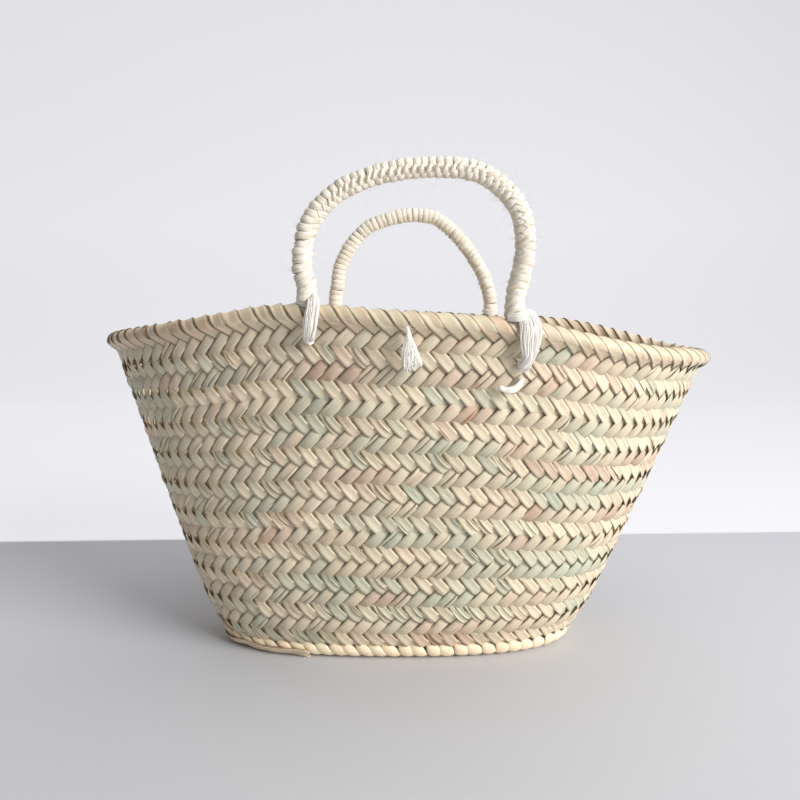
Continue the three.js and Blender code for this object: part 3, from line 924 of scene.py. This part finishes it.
def addHandle(name, spec):
    random = np.random.default_rng(spec["seed"])
    path = handlePath(spec)
    line = curveThrough(path, handle["spacing"])
    length = handle["spacing"] * (len(line) - 1)
    outward = np.array([0.0, spec["side"], 0.0])

    def pointAt(place):
        return np.stack([np.interp(place, np.arange(len(line)), line[:, k]) for k in range(3)], axis=-1)

    def frameAt(run):
        place = np.clip(run / length, 0, 1) * (len(line) - 1)
        forward = unit(pointAt(place + 3) - pointAt(place - 3))
        front = unit(outward - forward * (forward @ outward)[..., None])
        return pointAt(place), front, np.cross(forward, front)

    # places at an angle round the handle and a distance from its middle
    def roundAt(run, angle, radius):
        centre, front, across = frameAt(run)
        radial = front * np.cos(angle)[..., None] + across * np.sin(angle)[..., None]
        return centre + radial * radius[..., None], radial

    turns = int(length / handle["pitch"])
    turn = np.arange(turns * handle["stepsPerTurn"] + 1) / handle["stepsPerTurn"]
    whole = np.floor(turn)
    part = turn - whole
    width = handle["hitchWidth"]
    step = np.clip((part - 0.5 + width) / (2 * width), 0, 1)
    step = step * step * (3 - 2 * step)
    # the row of hitches wanders slowly round the handle
    share = turn / turns
    hitchAt = spec["hitchTurn"] + 0.35 * np.sin(2.2 * math.pi * share + 0.4)
    hitchAt = hitchAt + 0.2 * np.sin(5 * math.pi * share)
    loose = 0.25 + 0.75 * np.clip(share * 5 - 0.6, 0, 1) * np.clip((1 - share) * 5 - 0.6, 0, 1)
    uneven = smoothRandom(random, len(turn), 22)
    atHitch = np.exp(-(((part - 0.5) / 0.07) ** 2)) * loose
    beside = np.exp(-(((np.abs(part - 0.5) - 0.17) / 0.09) ** 2)) * loose
    run = (whole + 0.25 * part + 0.75 * step) * length / turns + handle["unevenRun"] * uneven
    radius = handle["coilRadius"] - handle["valley"] * atHitch + 0.0003 * beside
    radius = radius + handle["unevenRadius"] * smoothRandom(random, len(turn), 17)
    angle = 2 * math.pi * (part - 0.5) + hitchAt
    yarn, radial = roundAt(run, angle, radius)
    along = unit(np.gradient(yarn, axis=0))
    across = unit(np.cross(radial, along))
    up = np.cross(along, across)
    halfWidth = handle["yarnHalfWidth"] * (1 - 0.28 * atHitch + 0.05 * smoothRandom(random, len(turn), 30))
    halfDepth = handle["yarnHalfDepth"] * (1 + 0.25 * beside)
    # painted shade: the yarn is painted darker at each hitch, where it lies in the groove
    shade = 1 + 0.04 * smoothRandom(random, len(turn), 35) - 0.06 * atHitch
    coil = sweep(yarn[None], across[None], up[None], halfWidth[None], halfDepth[None],
                 handle["around"], shade[None], [3.0])

    # each hitch crosses back over the yarn, the other way
    hitches = np.arange(2, turns - 2)
    t = np.linspace(-1, 1, 11)[None, :]
    hitchRun = hitches[:, None] + 0.62 - 0.42 * t + random.normal(0, 0.05, (len(hitches), 1))
    place = np.interp(hitches + 0.5, turn, hitchAt)[:, None]
    strong = np.interp(hitches + 0.5, turn, loose)[:, None]
    hitchAngle = place + 0.5 * t + random.normal(0, 0.08, (len(hitches), 1))
    hitchRadius = handle["coilRadius"] + 0.0005 * strong - 0.0006 * t ** 2
    lines, _ = roundAt(hitchRun * length / turns, hitchAngle, hitchRadius)
    thick = handle["hitchRadius"] * (0.3 + 0.7 * np.sqrt(np.clip(1 - t ** 2, 0, 1))) * strong
    hitchPart = tubes(lines, thick, 8, 0.97 + random.normal(0, 0.03, (len(hitches), 1)),
                      random.uniform(0, 40, len(hitches)))

    # the yarn's ends are tucked into the feet and close them
    feet = [np.linspace(path[k], path[k + step], 8) for k, step in ((0, 1), (-1, -1))]
    footRadii = handle["coilRadius"] * np.tile(handle["footShape"], (2, 1))
    footPart = tubes(np.stack(feet), footRadii, 20, np.full((2, 1), 0.97), [5.0, 9.0])

    between = slice(len(yarn) // 14, -len(yarn) // 14)
    radial = unit(yarn - frameAt(run)[0])
    hairPart = hairs(random, yarn[between], radial[between], along[between], handle["hairs"])
    body = f"{name}_handle"
    wound = [coil, hitchPart, footPart]
    addPiece(f"{body}_coil", wound, wrapYarn, "sisal_wrap", body, [f"{body}_wrap"])
    addPiece(f"{body}_hairs", [hairPart], tieYarn, "sisal_wrap", body)


hair = {
    "radius": 0.00008,
    "rise": 0.0007,  # where a hair starts, off the yarn's middle
    "lengths": (0.002, 0.012),
}


# Stray fibres that stand out from a yarn
def hairs(random, yarn, radial, along, count, lengths=hair["lengths"]):
    at = random.integers(0, len(yarn), count)
    lean = random.normal(0, 0.8, (count, 1))
    stray = random.normal(0, 0.35, (count, 3))
    heading = unit(radial[at] * random.uniform(0.15, 0.9, (count, 1)) + along[at] * lean + stray)
    bend = random.normal(0, 0.5, (count, 3))
    reach = random.uniform(*lengths, (count, 1)) * random.uniform(0.4, 1, (count, 1))
    t = np.linspace(0, 1, 7)[None, :, None]
    start = yarn[at] + radial[at] * hair["rise"]
    lines = start[:, None] + heading[:, None] * reach[:, None] * t
    lines = lines + bend[:, None] * reach[:, None] * t ** 2 * 0.6
    radii = hair["radius"] * random.uniform(0.7, 1.3, (count, 1)) * (1 - 0.5 * t[..., 0])
    return tubes(lines, radii, 4, np.full((count, 1), 1.0), random.uniform(0, 40, count))


for handleName, handleSpec in handles.items():
    addHandle(handleName, handleSpec)
print("handles wound")


# A soft bundle of fibres along a path. A strand's half widths and half depths are at even shares.
def fibreBundle(random, path, strand, radius, front, ragged=0.0):
    line = curveThrough(path, 0.0009)
    shares = np.linspace(0, 1, len(line))
    forward = unit(np.gradient(line, axis=0))
    up = unit(front - forward * (forward @ np.array(front))[:, None])
    side = np.cross(up, forward)
    wide = np.interp(shares, np.linspace(0, 1, len(strand["wide"])), strand["wide"])
    deep = np.interp(shares, np.linspace(0, 1, len(strand["deep"])), strand["deep"])
    count = strand["fibres"]
    distance = np.sqrt(random.uniform(0, 1, (count, 1)))
    turn = random.uniform(0, 2 * math.pi, (count, 1)) + strand["twist"] * shares[None, :]
    pace = random.uniform(2, 7, (count, 1))
    turn = turn + 0.35 * np.sin(pace * shares + random.uniform(0, 6, (count, 1)))
    x = distance * np.cos(turn) * wide
    y = distance * np.sin(turn) * deep
    lines = line[None] + side[None] * x[..., None] + up[None] * y[..., None]
    if ragged:
        # cut ends differ in length
        keep = 1 - ragged * random.uniform(0, 1, (count, 1))
        places = shares[None, :] * keep * (len(line) - 1)
        low = np.minimum(places.astype(int), len(line) - 2)
        part = (places - low)[..., None]
        rows = np.arange(count)[:, None]
        lines = lines[rows, low] * (1 - part) + lines[rows, low + 1] * part
    radii = radius * random.uniform(0.7, 1.25, (count, 1)) * np.ones_like(shares)[None, :]
    return tubes(lines, radii, 5, 1 + random.normal(0, 0.035, (count, 1)), random.uniform(0, 40, count))


tie = {
    "fibreRadius": 0.0003,
    "flyaways": 44,
    "flyawayLengths": (0.003, 0.010),
}


def rearStrands(lean):
    fromKnot = [{
        "foot": [(0.0, 0.0, 0.0), (turn * 0.0030, 0.005, -0.0030)],
        "wall": [(turn * 0.0035, 0.001, 0.0046), (lean + turn * 0.0034, 0.008, 0.0064),
                 (lean + turn * 0.0024, 0.016, 0.0060), (lean + turn * 0.0012, 0.0205, 0.003),
                 (lean, 0.0215, -0.003)],
        "wide": [0.0012, 0.0022, 0.0028, 0.0026, 0.0020, 0.0016],
        "deep": [0.0012, 0.0013, 0.0013, 0.0013, 0.0013, 0.0013],
        "fibres": 30,
        "twist": turn * 0.8,
    } for turn in (-1, 1)]
    underFoot = {
        "foot": [(-0.0046, 0.0, -0.0056), (0.0, 0.001, -0.0062), (0.0046, 0.0, -0.0056)],
        "wall": [],
        "wide": [0.0014, 0.0026, 0.0014],
        "deep": [0.0020, 0.0030, 0.0020],
        "fibres": 60,
        "twist": 0.5,
    }
    insideFoot = {
        "foot": [(-0.0058, 0.0005, -0.0046), (-0.0046, -0.0040, -0.0050), (0.0, -0.0057, -0.0054),
                 (0.0046, -0.0040, -0.0050), (0.0058, 0.0005, -0.0046)],
        "wall": [],
        "wide": [0.0022, 0.0028, 0.0030, 0.0028, 0.0022],
        "deep": [0.0008, 0.0010, 0.0008],
        "fibres": 80,
        "twist": 1.5,
    }
    return [*fromKnot, underFoot, insideFoot]


# Each strand starts at points off its foot's pivot, then goes down the wall:
# x from the foot, length down from the rim's top, and distance out
ties = {
    "front_left_tie": {
        "side": -1,
        "foot": -0.062,
        "seed": 31,
        "strands": [
            {
                "foot": [(0.000, 0.003, -0.003), (0.0042, 0.0045, -0.003)],
                "wall": [(0.0058, 0.0000, 0.0042), (0.0052, 0.005, 0.0058), (0.0045, 0.011, 0.0062),
                         (0.0034, 0.017, 0.0050), (0.0026, 0.0210, 0.0020), (0.0026, 0.0225, -0.003)],
                "wide": [0.0015, 0.0034, 0.0042, 0.0042, 0.0034, 0.0024],
                "deep": [0.0012, 0.0015, 0.0013, 0.0013, 0.0014, 0.0014],
                "fibres": 120,
                "twist": 0.5,
            },
            {
                # passes under the foot, along the rim's top
                "foot": [(-0.0056, 0.001, -0.0066), (-0.001, 0.003, -0.0066), (0.004, 0.005, -0.0062)],
                "wall": [(0.0062, 0.003, 0.0050), (0.0060, 0.009, 0.0060)],
                "wide": [0.0014, 0.0026, 0.0026, 0.0018, 0.0010],
                "deep": [0.0010, 0.0016, 0.0014, 0.0010, 0.0006],
                "fibres": 44,
                "twist": 0.9,
            },
        ],
    },
    "front_right_tie": {
        "side": -1,
        "foot": 0.063,
        "seed": 32,
        "strands": [
            {
                "foot": [(-0.005, 0.004, -0.0064), (0.001, 0.0065, -0.0058), (0.0078, 0.005, -0.0044)],
                "wall": [(0.0106, 0.0008, 0.0048), (0.0106, 0.006, 0.0064), (0.0102, 0.0125, 0.0066),
                         (0.0094, 0.0200, 0.0056), (0.0078, 0.0285, 0.0022), (0.0078, 0.0295, -0.003)],
                "wide": [0.0020, 0.0032, 0.0034, 0.0034, 0.0026, 0.0034],
                "deep": [0.0012, 0.0015, 0.0015, 0.0015, 0.0014, 0.0014],
                "fibres": 100,
                "twist": 0.6,
            },
            {
                "foot": [(0.0, 0.002, -0.004), (0.0036, 0.005, -0.0048)],
                "wall": [(0.0050, 0.001, 0.0045), (0.0052, 0.007, 0.0064), (0.0058, 0.0135, 0.0070),
                         (0.0072, 0.0205, 0.0060), (0.0046, 0.0285, 0.0024), (0.0044, 0.0295, -0.003)],
                "wide": [0.0016, 0.0040, 0.0042, 0.0034, 0.0026, 0.0036],
                "deep": [0.0012, 0.0014, 0.0015, 0.0014, 0.0013, 0.0013],
                "fibres": 100,
                "twist": 0.6,
            },
        ],
    },
    "rear_left_tie": {"side": 1, "foot": -0.065, "seed": 27, "strands": rearStrands(0.002)},
    "rear_right_tie": {"side": 1, "foot": 0.075, "seed": 41, "strands": rearStrands(-0.002)},
}


def wallPath(footX, side, stations):
    return [rimPoint(rimAngle(footX + x, side), down, out) for x, down, out in stations]


# Stray fibres all along a bundle's path
def flyaways(random, path, front, spread, count, lengths):
    line = curveThrough(path, 0.0009)
    radial = unit(np.tile(front, (len(line), 1)) + random.normal(0, spread, (len(line), 3)))
    return hairs(random, line, radial, unit(np.gradient(line, axis=0)), count, lengths)


def addTie(name, spec):
    side = spec["side"]
    random = np.random.default_rng(spec["seed"])
    foot = footCentre(spec["foot"], side)
    front = np.array([0.0, side, 0.25])
    parts = []
    for strand in spec["strands"]:
        start = [foot + np.array(p) * np.array([1, side, 1]) for p in strand["foot"]]
        path = [*start, *wallPath(spec["foot"], side, strand["wall"])]
        parts.append(fibreBundle(random, path, strand, tie["fibreRadius"], front))
        parts.append(flyaways(random, path, unit(front), 0.8, tie["flyaways"], tie["flyawayLengths"]))
    made = addPiece(f"{name}_yarn", parts, tieYarn, "sisal_yarn", None, [name])
    body = "front_handle" if side < 0 else "rear_handle"
    foot - np.array([0, 0, 0.0080])
    foot - np.array([0, 0, 0.0035])
    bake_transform(made)


for tieName, tieSpec in ties.items():
    addTie(tieName, tieSpec)

# Along the front, as x, length down from the rim's top, and distance out
yarnEnds = {
    "tuft": {
        "path": [(-0.0012, 0.0070, 0.0052), (0.0000, 0.0135, 0.0058), (0.0004, 0.019, 0.0066),
                 (0.0014, 0.026, 0.0072), (0.0034, 0.0335, 0.0064)],
        "wide": [0.0004, 0.0018, 0.0042, 0.0056, 0.0064],
        "deep": [0.0005, 0.0010, 0.0015, 0.0015],
        "fibres": 190,
        "fibreRadius": 0.00028,
        "twist": 0.3,
        "ragged": 0.22,
    },
    "tail": {
        "path": [(0.0705, 0.0370, 0.000), (0.0678, 0.0405, 0.0038), (0.0637, 0.0430, 0.0050),
                 (0.0590, 0.0436, 0.0048), (0.0550, 0.0420, 0.0042)],
        "wide": [0.0013, 0.0018, 0.0020, 0.0018, 0.0012],
        "deep": [0.0012, 0.0015, 0.0015, 0.0010],
        "fibres": 56,
        "fibreRadius": 0.0003,
        "twist": 2.5,
        "ragged": 0.06,
    },
    "front": (0.0, -1.0, 0.3),
    "flyaways": 70,
    "flyawayLengths": (0.004, 0.010),
    "seed": 41,
}


def addYarnEnds():
    random = np.random.default_rng(yarnEnds["seed"])
    front = np.array(yarnEnds["front"])
    tuft = yarnEnds["tuft"]
    tail = yarnEnds["tail"]
    path = wallPath(0, -1, tuft["path"])
    brush = fibreBundle(random, path, tuft, tuft["fibreRadius"], front, tuft["ragged"])
    stray = flyaways(random, path, front, 0.9, yarnEnds["flyaways"], yarnEnds["flyawayLengths"])
    finish = (tieYarn, "sisal_yarn", "basket")
    addPiece("front_centre_tuft_fibres", [brush, stray], *finish, ["front_centre_tuft"])
    path = wallPath(0, -1, tail["path"])
    yarn = fibreBundle(random, path, tail, tail["fibreRadius"], front, tail["ragged"])
    addPiece("front_right_tail_fibres", [yarn], *finish, ["front_right_tie_tail"])


addYarnEnds()
print("ties tied")


cord = {
    "radius": 0.0011,
    "steps": 420,
    "around": 8,
    "lobes": 2,
    "lay": 0.007,  # length of one twist
    "behind": 0.0030,  # the wall's outline
    "baseHeight": 0.0024,
    "baseInside": {"base_seam_cord_outer": 0.01015, "base_seam_cord_inner": 0.03445},
}


# A closed ring of cord, laid up from two strands
def cordRing(line):
    closed = np.concatenate([line, line[:1]])
    run = np.concatenate([[0], np.cumsum(np.linalg.norm(np.diff(closed, axis=0), axis=1))])
    twists = round(run[-1] / cord["lay"])
    forward = unit(np.roll(line, -1, axis=0) - np.roll(line, 1, axis=0))
    up = np.array([0.0, 0.0, 1.0])
    side = unit(np.cross(forward, up))
    rise = np.cross(side, forward)
    around = cord["around"]
    theta = np.linspace(0, 2 * math.pi, around, endpoint=False)[None, :]
    phase = 2 * math.pi * twists * run[:-1, None] / run[-1]
    radius = cord["radius"] * (0.8 + 0.2 * np.cos(cord["lobes"] * (theta - phase)))
    outward = side[:, None] * np.cos(theta)[..., None] - rise[:, None] * np.sin(theta)[..., None]
    ring = line[:, None] + outward * radius[..., None]
    index = np.arange(len(line) * around).reshape(-1, around)
    onward = np.roll(index, -1, axis=0)
    quads = np.stack([index, np.roll(index, -1, 1), np.roll(onward, -1, 1), onward], axis=-1).reshape(-1, 4)
    flat = np.ones(index.size)
    girth = np.tile(theta.ravel() * cord["radius"], len(line))
    grain = np.stack([np.repeat(run[:-1], around), girth, flat], axis=-1)
    return {
        "points": ring.reshape(-1, 3),
        "faces": [quads],
        "attributes": {"tone": flat * 0.5, "shade": flat, "edge": flat * 0, "grain": grain},
    }


def addSeamCords():
    angles = np.linspace(0, 2 * math.pi, cord["steps"], endpoint=False)
    for seam in range(wall["turns"]):
        name = f"wall_seam_cord_{seam + 1:02d}"
        line = wallPoint(angles, seamHeight(seam), -cord["behind"])
        addPiece(f"twisted_{name}", [cordRing(line)], leafCord, "palm_cord", "basket", [name])
    for name, inside in cord["baseInside"].items():
        line = basePoint(angles, inside, cord["baseHeight"])
        addPiece(f"twisted_{name}", [cordRing(line)], leafCord, "palm_cord", "basket", [name])


addSeamCords()
print("seams sewn")


base = {
    "middle": 0.0027,  # height of the middle of the plait
    "flatness": 0.8,
    "turnFrom": 0.0103,  # inside the outline
    "turnTo": 0.0343,
    "centreHalfLength": 0.0834,
    "centreHalfDepth": 0.0104,
    "seed": 51,
}


def addBasePlait():
    random = np.random.default_rng(base["seed"])
    middleInside = (base["turnFrom"] + base["turnTo"]) / 2
    quarterCells = round(float(baseMeasure.quarter(middleInside)) / plait["pitch"])
    height = base["middle"] + plait["middle"]

    def turnPlace(cell, fall, out):
        inside = base["turnFrom"] + fall * (base["turnTo"] - base["turnFrom"])
        angle = baseMeasure.angle(cell, inside, quarterCells, plait["pitch"])
        return basePoint(angle, inside, height - out)

    parts = plaitTurn(turnPlace, 4 * quarterCells, random, flatness=base["flatness"])
    addPiece("woven_base_turn", parts, plaitLeaf, "palm_plait", "basket", ["base_plait_turn"])

    cells = round(2 * base["centreHalfLength"] / plait["pitch"]) - 2

    def centrePlace(cell, fall, out):
        x = (cell - (cells - 1) / 2) * plait["pitch"]
        share = np.clip(np.abs(x) / (base["centreHalfLength"] + 0.001), 0, 1)
        depth = base["centreHalfDepth"] * np.sqrt(1 - share ** 2.6)
        y = depth * (2 * fall - 1)
        x = np.clip(x, -base["centreHalfLength"], base["centreHalfLength"])
        return np.stack([x + wall["offset"], y, height - out], axis=-1)

    parts = plaitTurn(centrePlace, cells, random, flatness=base["flatness"])
    addPiece("woven_base_centre", parts, plaitLeaf, "palm_plait", "basket", ["base_plait_centre"])


addBasePlait()

looseEnd = {
    "from": -2.93,
    "to": -1.985,
    "leaves": [(0.0012, 0.0078, 0.0020), (0.0042, 0.0092, 0.0027)],  # bottom, top and distance out
    "thickness": 0.0006,
    "crown": 0.0004,
    "tone": 0.62,
    "length": 0.11,
    "lowest": 0.0006,
    "seed": 61,
}


def addLooseEnd():
    random = np.random.default_rng(looseEnd["seed"])
    steps = 60
    share = np.linspace(0, 1, steps)[:, None]
    side = np.linspace(-1, 1, 7)[None, :]
    parts = []
    for low, high, out in looseEnd["leaves"]:
        end = looseEnd["to"] + random.normal(0, 0.012) + 0.012 * np.sin(5 * side + random.uniform(0, 6))
        angle = looseEnd["from"] + (end - looseEnd["from"]) * share
        wave = 0.0005 * np.sin(9 * share + random.uniform(0, 6))
        shrink = 1 - 0.35 * np.exp(-((share / 0.1) ** 2))
        up = (low + high) / 2 + wave + side * (high - low) / 2 * shrink
        lift = out + 0.0005 * np.sin(14 * share + random.uniform(0, 6)) + 0.0008 * share ** 6
        middle = wallPoint(angle, up, lift + 0 * side)
        middle[..., 2] = np.maximum(middle[..., 2], looseEnd["lowest"])
        parts.append(ribbons(middle[None], looseEnd["thickness"], looseEnd["crown"], [looseEnd["tone"]],
                             [1.0], [random.uniform(0, 9)], looseEnd["length"] / steps, 0.0011))
    addPiece("base_band_loose_leaf", parts, rimLeaf, "palm_plait", "basket", ["base_band_loose_end"])


addLooseEnd()
print("base woven")


studio = {
    "tableColour": tint(205, 206, 211),
    "backColour": tint(150, 150, 153),
    "backGlow": (0.60, 0.60, 0.625, 1),
    "tableEdge": 0.2153,  # where the pale floor ends, straight behind the basket
    "tableSkew": 0.0431,
    "tableSoft": 0.004,
    "sweepAt": 1.7,
    "sweepRadius": 0.5,
    "sweepSteps": 40,
    "halfWidth": 4.0,
    "near": -3.0,
    "top": 4.0,
    "sky": 0.2,
    "skyColour": (1.0, 0.985, 0.965, 1),
}
lights = {
    "window": {
        "place": (1.6, -1.22, 0.95),
        "aim": (0, 0, 0.12),
        "size": (1.2, 1.1),
        "power": 20.5,
        "spread": 110,
    },
    "ceiling": {
        "place": (0.1, -0.1, 1.5),
        "aim": (0, 0, 0),
        "size": (1.2, 1.2),
        "power": 3,
        "spread": 120,
    },
}


def addStudio():
    rows = [(studio["near"], 0.0), (studio["sweepAt"] - studio["sweepRadius"], 0.0)]
    for i in range(studio["sweepSteps"]):
        turn = math.pi / 2 * (i + 1) / studio["sweepSteps"]
        rows.append((
            studio["sweepAt"] + studio["sweepRadius"] * (math.sin(turn) - 1),
            studio["sweepRadius"] * (1 - math.cos(turn)),
        ))
    rows.append((studio["sweepAt"], studio["top"]))
    points = [(x, y, z) for y, z in rows for x in (-studio["halfWidth"], studio["halfWidth"])]
    faces = [(2 * i, 2 * i + 1, 2 * i + 3, 2 * i + 2) for i in range(len(rows) - 1)]
    mesh = bpy.data.meshes.new("floor")
    mesh.from_pydata(points, [], faces)
    mesh.shade_smooth()
    floor = bpy.data.objects.new("floor", mesh)
    bpy.context.scene.collection.objects.link(floor)
    shader = Shader("floor")
    place = shader.add("TexCoord", {}, {}, "Object")
    across = shader.add("SeparateXYZ", {}, {0: place}, "X")
    depth = shader.add("SeparateXYZ", {}, {0: place}, "Y") - across * studio["tableSkew"]
    soft = studio["tableSoft"]
    share = shader.ease(depth, studio["tableEdge"] - soft, studio["tableEdge"] + soft)
    colour = shader.mix(share, studio["tableColour"], studio["backColour"])
    glow = shader.mix(share, (0.0, 0.0, 0.0, 1), studio["backGlow"])
    sockets = {"Base Color": colour, "Roughness": 0.75, "Emission Color": glow, "Emission Strength": 1.0}
    mesh.materials.append(shader.finish(sockets))


def addLight(name, spec):
    data = bpy.data.lights.new(name, "AREA")
    data.shape = "RECTANGLE"
    data.size, data.size_y = spec["size"]
    data.energy = spec["power"]
    data.spread = math.radians(spec["spread"])
    made = bpy.data.objects.new(name, data)
    made.location = spec["place"]
    direction = unit(np.array(spec["aim"], float) - np.array(spec["place"], float))
    yaw = math.atan2(direction[0], -direction[1])
    pitch = math.acos(max(-1.0, min(1.0, -direction[2])))
    made.rotation_euler = (pitch, 0, math.pi + yaw)
    bpy.context.scene.collection.objects.link(made)


def addLights():
    world = bpy.data.worlds.new("studio")
    world.use_nodes = True
    sky = world.node_tree.nodes["Background"]
    sky.inputs["Color"].default_value = studio["skyColour"]
    sky.inputs["Strength"].default_value = studio["sky"]
    bpy.context.scene.world = world
    for name, spec in lights.items():
        addLight(name, spec)
    bpy.context.scene.view_settings.view_transform = "Standard"


addStudio()
addLights()
print("studio lit")

# The CAD nodes that stay are cords inside the wraps
for nodeName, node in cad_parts.items():
    if not node.hide_render:
        node.data.materials.clear()
        node.data.materials.append(leafCord)
